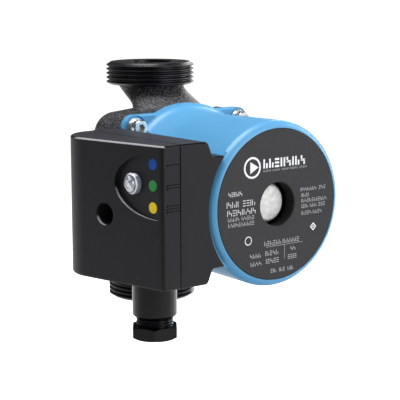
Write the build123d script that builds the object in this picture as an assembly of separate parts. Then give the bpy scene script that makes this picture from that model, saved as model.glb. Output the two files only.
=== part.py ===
from build123d import *
import math
import os

# Wet-rotor circulator pump for a heating circuit. +Z is up, along the pipe, and the origin is the centre
# of the lower port's end face. The motor points to -Y and the electronics box stands on its -X side.
# Along the motor axis, "y" values are places of planes, and they fall from the pump to the name plate.

os.makedirs("parts", exist_ok=True)

# ---- driving sizes, in millimetres -------------------------------------------------------------------
PORT_TO_PORT = 130.0
PORT_THREAD_D = 47.8
PORT_THREAD_PITCH = 2.309
PORT_THREAD_DEPTH = 1.48
PORT_CRESTS = 5
PORT_FACE_D = 43.4
COLLAR_LENGTH = 12.0
PORT_PIECE_LENGTH = 16.0
PORT_BORE_R = 12.0
PORT_BORE_LENGTH = 12.0

JOINT_Y = -30.0
DRUM_HALF = 42.3
DRUM_CORNER_R = 12.0
DRUM_CORNER_HALF = 39.0
DRUM_MID_HALF = 43.0
DRUM_ROUND_R = 39.0
DRUM_BACK_Y = -2.5
PUMP_FLANGE_THICKNESS = 9.0
PUMP_FLANGE_INSET = 1.3
SCREW_BOSS_R = 5.2
SCREW_HOLE_SPARE = 2.0
DRUM_BACK_ROUND = 8.0
PASSAGE_R = 10.5
PASSAGE_WALL = 4.5
PASSAGE_Y = 2.0

CHAMBER_R = 33.0
CHAMBER_BACK_Y = -12.0
SPIGOT_R = 40.4
SPIGOT_DEPTH = 4.0
PLATE_THICKNESS = 1.5
GASKET_THICKNESS = 1.1
WEAR_RING_R = 14.0
WEAR_RING_LENGTH = 2.0

FLANGE_HALF = 40.3
FLANGE_CORNER_R = 6.5
FLANGE_CIRCLE_R = 44.5
FLANGE_THICKNESS = 5.0
SCREW_OFFSET = 34.0
SCREW_D = 5.0
SCREW_HEAD_D = 8.5
SCREW_SOCKET_AF = 4.0
SCREW_LENGTH = 16.0
WASHER_D = 10.0
WASHER_THICKNESS = 1.0
SPOT_FACE_R = 6.2

MOTOR_FRONT_Y = -108.0
MOTOR_FRONT_R = 41.5
MOTOR_BACK_R = 40.6
MOTOR_FRONT_ROUND = 4.6
MOTOR_FRONT_WALL = 3.3
STATOR_R = 38.0
NAME_PLATE_R = 37.7
NAME_PLATE_THICKNESS = 1.2
CENTRE_HOLE_R = 11.0
CENTRE_TUBE_WALL = 1.2
CENTRE_TUBE_LENGTH = 6.6

SHAFT_D = 8.0
IMPELLER_R = 25.0
IMPELLER_EYE_R = 10.2
IMPELLER_BLADES = 6
BLADE_THICKNESS = 1.4
BLADE_HEIGHT = 5.0
SHROUD_THICKNESS = 2.0
BEARING_R = 7.5
FRONT_BEARING_LENGTH = 7.0
ROTOR_R = 16.0
ROTOR_SLEEVE_WALL = 0.55
ROTOR_LENGTH = 44.0
ROTOR_END_THICKNESS = 1.5
CAN_GAP = 0.6
CAN_WALL = 0.6
CAN_NOSE_R = 9.7
CAN_NOSE_Y = -101.0
CAN_NOSE_ROUND = 1.6
CAN_SHOULDER_Y = -88.0
STATOR_LENGTH = 35.0
STATOR_BACK_Y = -45.0
STATOR_YOKE = 8.0
STATOR_TEETH = 6
TOOTH_WIDTH = 7.0
COIL_BUILD = 4.0
END_CAP_THICKNESS = 3.0

BOX_HALF_HEIGHT = 34.4
BOX_BACK_Y = -33.5
BOX_WALL = 2.2
SEAM_X = -59.5
SEAM_GAP = 0.5
FACE_CORNER_X = -69.7
FACE_ANGLE = 12.3
BOX_BACK_ROUND = 19.0
BOX_CORNER_ROUND = 1.6
BOX_EDGE_ROUND = 1.2
SADDLE_R = 42.9
SADDLE_GASKET = 0.9
SADDLE_HALF_ANGLE = 39.0
SADDLE_WALL = 4.7
BASE_SHOULDER_X = -43.2
BASE_NECK_X = -40.2

PANEL_FRONT = 3.4
PANEL_LENGTH = 27.6
PANEL_HALF_HEIGHT = 15.6
PANEL_MID_Z = 14.8
PANEL_DEPTH_FRONT = 0.6
PANEL_DEPTH_BACK = 2.4
BUTTON_ALONG = 19.8
BUTTON_Z = 15.1
BUTTON_R = 5.3
BUTTON_DOME = 2.9
BUTTON_FOOT_DEPTH = 7.0
BUTTON_LIP_DEPTH = 5.5
BUTTON_LIP = 1.5
BUTTON_WINDOW = 1.4
BUTTON_HOLLOW_R = 3.4
LED_R = 2.5
LED_CENTRE_DEPTH = 6.0
PLUNGER_R = 0.9
DOT_ALONG = 7.1
DOT_R = 2.65
DOT_POCKET = 0.4
DOT_HEIGHTS = {"blue": 25.3, "green": 15.2, "yellow": 4.8}
SCREW_HOLE_ALONG = 37.8
SCREW_HOLE_Z = -1.4
SCREW_HOLE_R = 5.5

GLAND_X = -48.0
GLAND_Y = -70.0
GLAND_BODY_R = 11.2
GLAND_BODY_DROP = 20.9
GLAND_TAPER = 1.7
GLAND_THREAD_D = 18.6
GLAND_THREAD_PITCH = 1.411
GLAND_CRESTS = 5
GLAND_BORE_R = 6.6
GLAND_SEAL_BORE_R = 5.0
GLAND_NUT_AF = 22.0
GLAND_NUT_HEIGHT = 6.6
GLAND_NUT_DROP = 33.2
GLAND_NUT_TURN = -5.4
GLAND_NUT_FLOOR = 1.5

FIT_GAP = 0.02
RUN_GAP = 0.05
MOVE_GAP = 0.3

# ---- places worked out from them ---------------------------------------------------------------------
MOTOR_Z = PORT_TO_PORT / 2
SHAFT_R = SHAFT_D / 2
SPIGOT_BACK_Y = JOINT_Y + SPIGOT_DEPTH
PLATE_FRONT_Y = SPIGOT_BACK_Y - PLATE_THICKNESS
CAN_FLANGE_BACK_Y = PLATE_FRONT_Y - GASKET_THICKNESS
SPIGOT_FIT_R = SPIGOT_R - 0.2
FLANGE_FRONT_Y = JOINT_Y - FLANGE_THICKNESS
SCREW_SEAT_Y = FLANGE_FRONT_Y + WASHER_THICKNESS
HEAD_BACK_Y = SCREW_SEAT_Y - WASHER_THICKNESS
HEAD_FRONT_Y = HEAD_BACK_Y - SCREW_D
SCREW_HOLE_END_Y = HEAD_BACK_Y + SCREW_LENGTH + SCREW_HOLE_SPARE
PLATE_SEAT_Y = MOTOR_FRONT_Y + NAME_PLATE_THICKNESS
FRONT_WALL_Y = PLATE_SEAT_Y + MOTOR_FRONT_WALL
CAN_INNER_R = ROTOR_R + CAN_GAP
CAN_OUTER_R = CAN_INNER_R + CAN_WALL
HUB_END_Y = SPIGOT_BACK_Y - FRONT_BEARING_LENGTH - 2.0
THRUST_BACK_Y = HUB_END_Y + 1.0 - MOVE_GAP
THRUST_LENGTH = 2.0
ROTOR_BACK_Y = THRUST_BACK_Y - 2 * THRUST_LENGTH
ROTOR_FRONT_Y = ROTOR_BACK_Y - ROTOR_LENGTH - 2 * ROTOR_END_THICKNESS
STATOR_FRONT_Y = STATOR_BACK_Y - STATOR_LENGTH
PAD_R = SADDLE_R - SADDLE_GASKET
BOX_INSIDE_R = SADDLE_R + SADDLE_WALL
FACE_LEAN = math.radians(FACE_ANGLE)
FACE_RUN = Vector(-math.sin(FACE_LEAN), math.cos(FACE_LEAN), 0)
FACE_OUT = Vector(-math.cos(FACE_LEAN), -math.sin(FACE_LEAN), 0)
FACE_CORNER = Vector(FACE_CORNER_X, MOTOR_FRONT_Y, MOTOR_Z)
PANEL_SLOPE = (PANEL_DEPTH_BACK - PANEL_DEPTH_FRONT) / PANEL_LENGTH
SHELL_BACK_X = SEAM_X - SEAM_GAP
BOARD_X = SEAM_X + 2.5
BOARD_THICKNESS = 1.6
BOARD_OUT_X = BOARD_X - BOARD_THICKNESS
DISPLAY_DEPTH = 10.0
DISPLAY_THICKNESS = 1.2
BOX_BOTTOM = -BOX_HALF_HEIGHT
GLAND_SHOULDER = BOX_BOTTOM - GLAND_BODY_DROP
GLAND_NECK_TOP = GLAND_SHOULDER - GLAND_TAPER
GLAND_NUT_BOTTOM = BOX_BOTTOM - GLAND_NUT_DROP
GLAND_NUT_TOP = GLAND_NUT_BOTTOM + GLAND_NUT_HEIGHT
GLAND_RING_BOTTOM = GLAND_NUT_BOTTOM + GLAND_NUT_FLOOR
GLAND_RING_TOP = GLAND_RING_BOTTOM + 0.9
GLAND_NECK_END = GLAND_RING_TOP + MOVE_GAP
GLAND_SEAL_LENGTH = 5.0
CONNECTOR_Y = MOTOR_FRONT_Y + 24.0
CONNECTOR_LENGTH = 14.0
CONNECTOR_HEIGHT = 9.0
BASE_SCREW_Y = -98.0
BASE_SCREW_Z = 14.0
BASE_SCREW_R = 1.9
BOARD_POSTS = [(y, z) for y in (BOX_BACK_Y - 9.0, MOTOR_FRONT_Y + 9.0) for z in (-26.0, 26.0)]


# ---- helpers -----------------------------------------------------------------------------------------
def across(y):
    """A plane square to the motor axis at y, facing the name plate."""
    return Plane(origin=(0, y, MOTOR_Z), x_dir=(1, 0, 0), z_dir=(0, -1, 0))


def slab(sketch, back_y, front_y):
    """A sketch drawn round the motor axis, run from back_y forward to front_y."""
    return extrude(across(back_y) * sketch, amount=back_y - front_y)


def ring(outer_r, inner_r, back_y, front_y):
    return slab(Circle(outer_r) - Circle(inner_r), back_y, front_y)


def disc(radius, back_y, front_y):
    return slab(Circle(radius), back_y, front_y)


def turned(*points):
    """A profile of (radius, y) points turned about the motor axis."""
    profile = make_face(Polyline(*points, close=True))
    return Pos(0, 0, MOTOR_Z) * revolve(profile, Axis.Y)


def turned_upright(x, y, points):
    """A profile of (radius, height) points turned about the vertical at x, y."""
    profile = Plane.XZ * make_face(Polyline(*points, close=True))
    return Pos(x, y, 0) * revolve(profile, Axis.Z)


def peg(radius, x_start, x_end, y, z):
    """A round peg along X, with z counted from the motor axis."""
    middle = Pos((x_start + x_end) / 2, y, MOTOR_Z + z)
    return middle * Rot(0, 90, 0) * Cylinder(radius, abs(x_end - x_start))


def block(x_span, y_span, z_span):
    """A box between pairs of x, y and z, with z counted from the motor axis."""
    spans = (x_span, y_span, z_span)
    middle = [(low + high) / 2 for low, high in spans]
    return Pos(middle[0], middle[1], MOTOR_Z + middle[2]) * Box(*[abs(high - low) for low, high in spans])


def screw_places():
    return [(sx * SCREW_OFFSET, sz * SCREW_OFFSET) for sx in (-1, 1) for sz in (-1, 1)]


def face_plane(along, z, depth=0.0):
    """A plane on the slanted face: along is counted from its front corner, depth goes into the box."""
    origin = FACE_CORNER + FACE_RUN * along - FACE_OUT * depth + Vector(0, 0, z)
    return Plane(origin=origin, x_dir=-FACE_RUN, z_dir=FACE_OUT)


def panel_depth(along):
    return PANEL_DEPTH_FRONT + PANEL_SLOPE * (along - PANEL_FRONT)


def save(shape, name):
    shape.label = name
    export_step(shape, f"parts/{name}.step")


# ---- pump housing ------------------------------------------------------------------------------------
def thread_profile(crest_d, depth, pitch, crests, start, end, end_r):
    """Radius and height points of a threaded neck, with V crests from start towards end."""
    crest_r = crest_d / 2
    root_r = crest_r - depth
    way = 1 if end > start else -1
    flat = pitch * 0.09
    points = [(0, start), (root_r, start)]
    for turn in range(crests):
        middle = start + way * pitch * (turn + 0.5)
        points.append((root_r, middle - way * pitch * 0.44))
        points.append((crest_r, middle - way * flat))
        points.append((crest_r, middle + way * flat))
        points.append((root_r, middle + way * pitch * 0.44))
    points.append((end_r, end))
    points.append((0, end))
    return points


def port_collar(way):
    start = MOTOR_Z + way * (PORT_TO_PORT / 2 - COLLAR_LENGTH)
    end = MOTOR_Z + way * PORT_TO_PORT / 2
    points = thread_profile(PORT_THREAD_D, PORT_THREAD_DEPTH, PORT_THREAD_PITCH, PORT_CRESTS,
                            start, end, PORT_FACE_D / 2)
    return turned_upright(0, 0, points)


def port_neck(way):
    """The cast neck that leaves the collar and leans forward into the drum."""
    collar_back = PORT_TO_PORT / 2 - COLLAR_LENGTH
    stations = [(0.0, 0.0, 18.2, 17.6), (-3.0, -3.2, 17.8, 16.6), (-7.0, -9.6, 18.4, 16.0),
                (-11.0, -15.8, 20.5, 14.0), (-15.0, -18.0, 25.0, 11.5), (-23.0, -19.0, 31.0, 10.5)]
    sections = []
    for drop, y, half_x, half_y in stations:
        height = MOTOR_Z + way * (collar_back + drop)
        sections.append(Pos(0, y, height) * Ellipse(half_x, half_y))
    return loft(sections)


def pump_drum():
    """The volute's casing: round on the far side, full-cornered on the box's side, on a lobed flange."""
    full_side = make_face(Polyline((0, DRUM_MID_HALF), (-DRUM_HALF, DRUM_CORNER_HALF),
                                   (-DRUM_HALF, -DRUM_CORNER_HALF), (0, -DRUM_MID_HALF), close=True))
    full_side = fillet(full_side.vertices().group_by(Axis.X)[0], DRUM_CORNER_R)
    casing = slab(full_side, DRUM_BACK_Y, JOINT_Y)
    casing = fillet(casing.faces().sort_by(Axis.Y)[-1].edges().filter_by(
        lambda edge: edge.center().X < -1), DRUM_BACK_ROUND)
    far_side = disc(DRUM_ROUND_R, DRUM_BACK_Y - 6.0, JOINT_Y)
    far_side = fillet(far_side.faces().sort_by(Axis.Y)[-1].edges(), DRUM_BACK_ROUND)
    drum = casing + far_side
    drum += slab(flange_sketch(-PUMP_FLANGE_INSET), JOINT_Y + PUMP_FLANGE_THICKNESS, JOINT_Y)
    for x, z in screw_places():
        drum += slab(Pos(x, z) * Circle(SCREW_BOSS_R), SCREW_HOLE_END_Y + SCREW_HOLE_SPARE, JOINT_Y)
    return drum


def suction_bulge():
    """The outside of the passage that leads from the lower port to the impeller's eye."""
    radius = PASSAGE_R + PASSAGE_WALL
    low = COLLAR_LENGTH - 2.0
    pipe = Pos(0, PASSAGE_Y, (low + MOTOR_Z) / 2) * Cylinder(radius, MOTOR_Z - low)
    return pipe + Pos(0, PASSAGE_Y, MOTOR_Z) * Sphere(radius)


def suction_passage():
    bend_low = PORT_BORE_LENGTH + 10.0
    bore = Pos(0, 0, PORT_BORE_LENGTH / 2) * Cylinder(PORT_BORE_R, PORT_BORE_LENGTH)
    lower = Pos(0, 0, PORT_BORE_LENGTH) * Circle(PORT_BORE_R)
    upper = Pos(0, PASSAGE_Y, bend_low) * Circle(PASSAGE_R)
    riser = Pos(0, PASSAGE_Y, (bend_low + MOTOR_Z) / 2) * Cylinder(PASSAGE_R, MOTOR_Z - bend_low)
    turn = Pos(0, PASSAGE_Y, MOTOR_Z) * Sphere(PASSAGE_R)
    eye = disc(PASSAGE_R, PASSAGE_Y, CHAMBER_BACK_Y)
    return bore + loft([lower, upper]) + riser + turn + eye


def discharge_passage():
    top = PORT_TO_PORT
    bend = top - PORT_BORE_LENGTH
    bore = Pos(0, 0, (top + bend) / 2) * Cylinder(PORT_BORE_R, PORT_BORE_LENGTH)
    stations = [(0.0, 0.0, PORT_BORE_R, PORT_BORE_R), (-6.0, -6.2, PORT_BORE_R, 9.4),
                (-13.0, -16.0, PORT_BORE_R, 7.0), (-25.0, -19.0, PORT_BORE_R, 6.2)]
    sections = [Pos(0, y, bend + drop) * Ellipse(half_x, half_y) for drop, y, half_x, half_y in stations]
    return bore + loft(sections)


def pump_casting():
    """The whole casting, ports included."""
    body = pump_drum() + suction_bulge()
    for way in (-1, 1):
        body += port_neck(way)
        body += port_collar(way)
    body -= suction_passage()
    body -= discharge_passage()
    body -= disc(2 * DRUM_HALF, JOINT_Y, JOINT_Y - 5)
    body -= disc(CHAMBER_R, CHAMBER_BACK_Y, JOINT_Y - 1)
    body -= disc(SPIGOT_R, SPIGOT_BACK_Y, JOINT_Y - 1)
    body -= disc(WEAR_RING_R + FIT_GAP, CHAMBER_BACK_Y + WEAR_RING_LENGTH, CHAMBER_BACK_Y - 1)
    for x, z in screw_places():
        hole = Pos(x, z) * Circle(SCREW_D / 2 + RUN_GAP)
        body -= slab(hole, SCREW_HOLE_END_Y, JOINT_Y - 1)
    return body


def casting_between(low, high):
    """The stretch of the casting between two heights."""
    room = Pos(0, 0, (low + high) / 2) * Box(4 * DRUM_HALF, 4 * DRUM_HALF, high - low)
    return pump_casting() & room


def make_pump_housing():
    return casting_between(PORT_PIECE_LENGTH, PORT_TO_PORT - PORT_PIECE_LENGTH)


def make_suction_port():
    return casting_between(0, PORT_PIECE_LENGTH)


def make_discharge_port():
    return casting_between(PORT_TO_PORT - PORT_PIECE_LENGTH, PORT_TO_PORT)


# ---- wet end -----------------------------------------------------------------------------------------
EYE_OUTER_R = IMPELLER_EYE_R + 1.5
EYE_SHROUD_BACK_Y = CHAMBER_BACK_Y - 2.0
BLADE_BACK_Y = EYE_SHROUD_BACK_Y - SHROUD_THICKNESS
BLADE_FRONT_Y = BLADE_BACK_Y - BLADE_HEIGHT
HUB_SHROUD_FRONT_Y = BLADE_FRONT_Y - SHROUD_THICKNESS
IMPELLER_HUB_R = 7.0


def make_wear_ring():
    return ring(WEAR_RING_R, EYE_OUTER_R + MOVE_GAP, CHAMBER_BACK_Y + WEAR_RING_LENGTH, CHAMBER_BACK_Y)


def blade_sketch():
    """One curved blade: the part of an off-centre ring that lies between the eye and the rim."""
    reach = (IMPELLER_R + 3.6) / 2
    strip = Circle(reach + BLADE_THICKNESS / 2) - Circle(reach - BLADE_THICKNESS / 2)
    strip = Pos(IMPELLER_R - reach, 0) * strip
    strip &= Circle(IMPELLER_R - 0.4) - Circle(IMPELLER_EYE_R + 0.6)
    return strip & Pos(0, IMPELLER_R) * Rectangle(4 * IMPELLER_R, 2 * IMPELLER_R)


def make_impeller():
    wheel = disc(IMPELLER_R, BLADE_FRONT_Y, HUB_SHROUD_FRONT_Y)
    wheel += disc(IMPELLER_HUB_R, BLADE_BACK_Y + 1.0, HUB_SHROUD_FRONT_Y - 2.2)
    for turn in range(IMPELLER_BLADES):
        blade = Rot(0, 0, turn * 360 / IMPELLER_BLADES) * blade_sketch()
        wheel += slab(blade, BLADE_BACK_Y, BLADE_FRONT_Y)
    return wheel - disc(SHAFT_R + FIT_GAP, 0, JOINT_Y)


def make_impeller_shroud():
    neck_back_y = CHAMBER_BACK_Y + WEAR_RING_LENGTH - 1.0
    return turned((IMPELLER_EYE_R, neck_back_y), (EYE_OUTER_R, neck_back_y),
                  (EYE_OUTER_R, EYE_SHROUD_BACK_Y), (IMPELLER_R, EYE_SHROUD_BACK_Y + 0.3),
                  (IMPELLER_R, BLADE_BACK_Y), (IMPELLER_EYE_R, BLADE_BACK_Y))


def make_bearing_plate():
    bore_r = BEARING_R + FIT_GAP
    hub_r = BEARING_R + 2.0
    return turned((bore_r, SPIGOT_BACK_Y), (SPIGOT_FIT_R, SPIGOT_BACK_Y), (SPIGOT_FIT_R, PLATE_FRONT_Y),
                  (hub_r, PLATE_FRONT_Y), (hub_r, HUB_END_Y), (bore_r, HUB_END_Y))


def make_housing_gasket():
    return ring(SPIGOT_FIT_R, SPIGOT_FIT_R - 6.0, PLATE_FRONT_Y, CAN_FLANGE_BACK_Y)


def make_front_bearing():
    back_y = SPIGOT_BACK_Y - 1.0
    return ring(BEARING_R, SHAFT_R + RUN_GAP, back_y, back_y - FRONT_BEARING_LENGTH)


def make_rear_bearing():
    outer_r = CAN_NOSE_R - CAN_WALL - FIT_GAP
    return ring(outer_r, SHAFT_R + RUN_GAP, CAN_SHOULDER_Y - 2.0, CAN_NOSE_Y + 3.0)


def make_shaft():
    end_y = CAN_NOSE_Y + 3.5
    shaft = disc(SHAFT_R, BLADE_BACK_Y + 2.5, end_y)
    rims = shaft.edges().filter_by(GeomType.CIRCLE)
    return chamfer(rims, 0.6)


def make_rotor_core():
    back_y = ROTOR_BACK_Y - ROTOR_END_THICKNESS
    core = ring(ROTOR_R - ROTOR_SLEEVE_WALL - FIT_GAP, SHAFT_R + FIT_GAP, back_y, back_y - ROTOR_LENGTH)
    return core


def make_rotor_end_rings():
    radius = ROTOR_R - ROTOR_SLEEVE_WALL - FIT_GAP
    rings = [ring(radius, SHAFT_R + FIT_GAP, y, y - ROTOR_END_THICKNESS)
             for y in (ROTOR_BACK_Y, ROTOR_FRONT_Y + ROTOR_END_THICKNESS)]
    return Compound(children=rings)


def make_rotor_sleeve():
    return ring(ROTOR_R, ROTOR_R - ROTOR_SLEEVE_WALL, ROTOR_BACK_Y, ROTOR_FRONT_Y)


def make_thrust_washer():
    return ring(BEARING_R - 0.3, SHAFT_R + FIT_GAP, THRUST_BACK_Y, THRUST_BACK_Y - THRUST_LENGTH)


def make_thrust_cushion():
    back_y = THRUST_BACK_Y - THRUST_LENGTH
    return ring(BEARING_R - 0.3, SHAFT_R + FIT_GAP, back_y, back_y - THRUST_LENGTH)


def make_rotor_can():
    nose_in_r = CAN_NOSE_R - CAN_WALL
    can = turned((CAN_INNER_R, CAN_FLANGE_BACK_Y), (SPIGOT_FIT_R, CAN_FLANGE_BACK_Y), (SPIGOT_FIT_R, JOINT_Y),
                 (CAN_OUTER_R, JOINT_Y), (CAN_OUTER_R, CAN_SHOULDER_Y), (CAN_NOSE_R, CAN_SHOULDER_Y),
                 (CAN_NOSE_R, CAN_NOSE_Y), (0, CAN_NOSE_Y), (0, CAN_NOSE_Y + 2 * CAN_WALL),
                 (nose_in_r, CAN_NOSE_Y + 2 * CAN_WALL), (nose_in_r, CAN_SHOULDER_Y + CAN_WALL),
                 (CAN_INNER_R, CAN_SHOULDER_Y + CAN_WALL))
    tip = can.edges().filter_by(GeomType.CIRCLE).sort_by(Axis.Y)[0]
    return fillet(tip, CAN_NOSE_ROUND)


# ---- stator ------------------------------------------------------------------------------------------
def make_stator_core():
    tip_r = CAN_OUTER_R + 1.0
    yoke_r = STATOR_R - STATOR_YOKE
    sketch = Circle(STATOR_R) - Circle(yoke_r)
    tooth = Pos((tip_r + yoke_r + 1) / 2, 0) * Rectangle(yoke_r + 1 - tip_r, TOOTH_WIDTH)
    shoe = Pos(tip_r + 0.9, 0) * Rectangle(1.8, TOOTH_WIDTH + 5.0)
    for turn in range(STATOR_TEETH):
        sketch += Rot(0, 0, turn * 360 / STATOR_TEETH) * (tooth + shoe)
    sketch -= Circle(tip_r)
    return slab(sketch, STATOR_BACK_Y, STATOR_FRONT_Y)


def make_stator_coils():
    low_r = CAN_OUTER_R + 4.0
    high_r = STATOR_R - STATOR_YOKE - 1.6
    middle_y = (STATOR_BACK_Y + STATOR_FRONT_Y) / 2
    inner = (STATOR_LENGTH + 1.0, TOOTH_WIDTH + 1.0)
    outer = (inner[0] + 2 * COIL_BUILD, inner[1] + 2 * COIL_BUILD)
    loop = RectangleRounded(*outer, 3.0) - RectangleRounded(*inner, 0.5)
    plane = Plane(origin=(low_r, middle_y, 0), x_dir=(0, 1, 0), z_dir=(1, 0, 0))
    coil = extrude(plane * loop, amount=high_r - low_r)
    coils = [Pos(0, 0, MOTOR_Z) * Rot(0, turn * 360 / STATOR_TEETH, 0) * coil for turn in range(STATOR_TEETH)]
    return Compound(children=coils)


def make_stator_end_caps():
    inner_r = STATOR_R - STATOR_YOKE + 0.5
    caps = [ring(STATOR_R - 0.5, inner_r, STATOR_BACK_Y + END_CAP_THICKNESS, STATOR_BACK_Y),
            ring(STATOR_R - 0.5, inner_r, STATOR_FRONT_Y, STATOR_FRONT_Y - END_CAP_THICKNESS)]
    return Compound(children=caps)


# ---- motor housing -----------------------------------------------------------------------------------
def flange_sketch(grow=0.0):
    square = RectangleRounded(2 * (FLANGE_HALF + grow), 2 * (FLANGE_HALF + grow), FLANGE_CORNER_R + grow)
    return square + Circle(FLANGE_CIRCLE_R + grow)


def motor_barrel():
    """The barrel's outside, from its rounded front to the flare that runs into the flange."""
    round_y = MOTOR_FRONT_Y + MOTOR_FRONT_ROUND
    round_r = MOTOR_FRONT_R - MOTOR_FRONT_ROUND
    bulge = MOTOR_FRONT_ROUND * math.sin(math.radians(45))
    middle = (round_r + bulge, round_y - bulge)
    flare_y = FLANGE_FRONT_Y - 21.0
    nose = Line((0, MOTOR_FRONT_Y), (round_r, MOTOR_FRONT_Y))
    corner = ThreePointArc((round_r, MOTOR_FRONT_Y), middle, (MOTOR_FRONT_R, round_y))
    side = Line((MOTOR_FRONT_R, round_y), (MOTOR_BACK_R, flare_y))
    flare = Spline((MOTOR_BACK_R, flare_y), (MOTOR_BACK_R + 1.2, FLANGE_FRONT_Y - 7.0),
                   (FLANGE_CIRCLE_R, FLANGE_FRONT_Y), tangents=[(0, 1), (0.85, 0.5)])
    rest = Polyline((FLANGE_CIRCLE_R, FLANGE_FRONT_Y), (FLANGE_CIRCLE_R, JOINT_Y), (0, JOINT_Y),
                    (0, MOTOR_FRONT_Y))
    profile = make_face(nose + corner + side + flare + rest)
    return Pos(0, 0, MOTOR_Z) * revolve(profile, Axis.Y)


def saddle_wedge(half_angle):
    """The sector on the box's side of the motor axis, as a sketch."""
    reach = 2 * SADDLE_R
    rise = reach * math.tan(math.radians(half_angle))
    return make_face(Polyline((0, 0), (-reach, rise), (-reach, -rise), close=True))


def make_motor_housing():
    flange = slab(flange_sketch(), JOINT_Y, FLANGE_FRONT_Y)
    rim = flange.faces().sort_by(Axis.Y)[0].edges()
    body = chamfer(rim, 0.8) + motor_barrel()
    pad = (Circle(PAD_R) - Circle(STATOR_R + 1.0)) & saddle_wedge(SADDLE_HALF_ANGLE + 4.0)
    body += slab(pad, FLANGE_FRONT_Y - 17.0, MOTOR_FRONT_Y + 2.5)
    body -= disc(STATOR_R + RUN_GAP, JOINT_Y + 1, FRONT_WALL_Y)
    body -= disc(NAME_PLATE_R + MOVE_GAP / 2, PLATE_SEAT_Y, MOTOR_FRONT_Y - 1)
    body -= disc(CENTRE_HOLE_R + CENTRE_TUBE_WALL + RUN_GAP, FRONT_WALL_Y + 1, MOTOR_FRONT_Y)
    for x, z in screw_places():
        place = Pos(x, z)
        body -= slab(place * Circle(SCREW_D / 2 + MOVE_GAP), JOINT_Y + 1, FLANGE_FRONT_Y - 1)
        body -= slab(place * Circle(SPOT_FACE_R), SCREW_SEAT_Y, FLANGE_FRONT_Y - 9.0)
    body -= connector_hole(RUN_GAP + 0.1)
    for way in (-1, 1):
        body -= peg(BASE_SCREW_R + FIT_GAP, -PAD_R - 1, -PAD_R + 8, BASE_SCREW_Y, way * BASE_SCREW_Z)
    return body


def make_flange_screws():
    head_r = SCREW_HEAD_D / 2
    screws = []
    for x, z in screw_places():
        place = Pos(x, z)
        screw = slab(place * Circle(head_r), HEAD_BACK_Y, HEAD_FRONT_Y)
        front_rim = screw.faces().sort_by(Axis.Y)[0].edges()
        screw = chamfer(front_rim, 0.5)
        screw += slab(place * Circle(SCREW_D / 2), HEAD_BACK_Y + SCREW_LENGTH, HEAD_BACK_Y)
        socket = place * RegularPolygon(SCREW_SOCKET_AF / 2, 6, major_radius=False)
        screws.append(screw - slab(socket, HEAD_FRONT_Y + 2.5, HEAD_FRONT_Y - 1))
    return Compound(children=screws)


def make_flange_washers():
    sketch = Circle(WASHER_D / 2) - Circle(SCREW_D / 2 + 0.2)
    return Compound(children=[slab(Pos(x, z) * sketch, SCREW_SEAT_Y, HEAD_BACK_Y) for x, z in screw_places()])


def make_name_plate():
    plate = disc(NAME_PLATE_R, PLATE_SEAT_Y, MOTOR_FRONT_Y)
    plate += disc(CENTRE_HOLE_R + CENTRE_TUBE_WALL, MOTOR_FRONT_Y + CENTRE_TUBE_LENGTH, MOTOR_FRONT_Y)
    plate -= disc(CENTRE_HOLE_R, 0, MOTOR_FRONT_Y - 1)
    front = plate.faces().sort_by(Axis.Y)[0]
    return chamfer(front.edges(), 0.3)


# ---- electronics box ---------------------------------------------------------------------------------
def connector_hole(gap):
    half_y = CONNECTOR_LENGTH / 2 + gap
    half_z = CONNECTOR_HEIGHT / 2 + gap
    y_span = (CONNECTOR_Y - half_y, CONNECTOR_Y + half_y)
    return block((-BOX_INSIDE_R - 2, -STATOR_R + 1), y_span, (-half_z, half_z))


def base_outline():
    """The base's end view: a block whose inner side is a saddle for the motor, with a stepped shoulder."""
    lean = math.radians(SADDLE_HALF_ANGLE)
    tip = (-SADDLE_R * math.cos(lean), SADDLE_R * math.sin(lean))
    top = FilletPolyline((SEAM_X, BOX_HALF_HEIGHT), (BASE_SHOULDER_X, BOX_HALF_HEIGHT),
                         (BASE_NECK_X, tip[1] + 0.2), tip, radius=[2.5, 2.5])
    saddle = ThreePointArc(tip, (-SADDLE_R, 0), (tip[0], -tip[1]))
    bottom = FilletPolyline((tip[0], -tip[1]), (BASE_NECK_X, -tip[1] - 0.2), (BASE_SHOULDER_X, BOX_BOTTOM),
                            (SEAM_X, BOX_BOTTOM), radius=[2.5, 2.5])
    seam = Line((SEAM_X, BOX_BOTTOM), (SEAM_X, BOX_HALF_HEIGHT))
    return make_face(top + saddle + bottom + seam)


def gland_neck():
    """The gland body under the base, with its taper and its threaded neck."""
    bottom = MOTOR_Z + GLAND_NECK_END
    body = [(0, MOTOR_Z + BOX_BOTTOM + 5.0), (GLAND_BODY_R, MOTOR_Z + BOX_BOTTOM + 5.0),
            (GLAND_BODY_R, MOTOR_Z + GLAND_SHOULDER), (GLAND_THREAD_D / 2 + 0.2, MOTOR_Z + GLAND_NECK_TOP),
            (0, MOTOR_Z + GLAND_NECK_TOP)]
    thread = thread_profile(GLAND_THREAD_D, 0.75, GLAND_THREAD_PITCH, GLAND_CRESTS,
                            MOTOR_Z + GLAND_NECK_TOP, bottom, GLAND_THREAD_D / 2 - 0.75)
    return turned_upright(GLAND_X, GLAND_Y, body) + turned_upright(GLAND_X, GLAND_Y, thread)


def gland_hole(radius, low, high):
    return Pos(GLAND_X, GLAND_Y, MOTOR_Z + (low + high) / 2) * Cylinder(radius, high - low)


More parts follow.
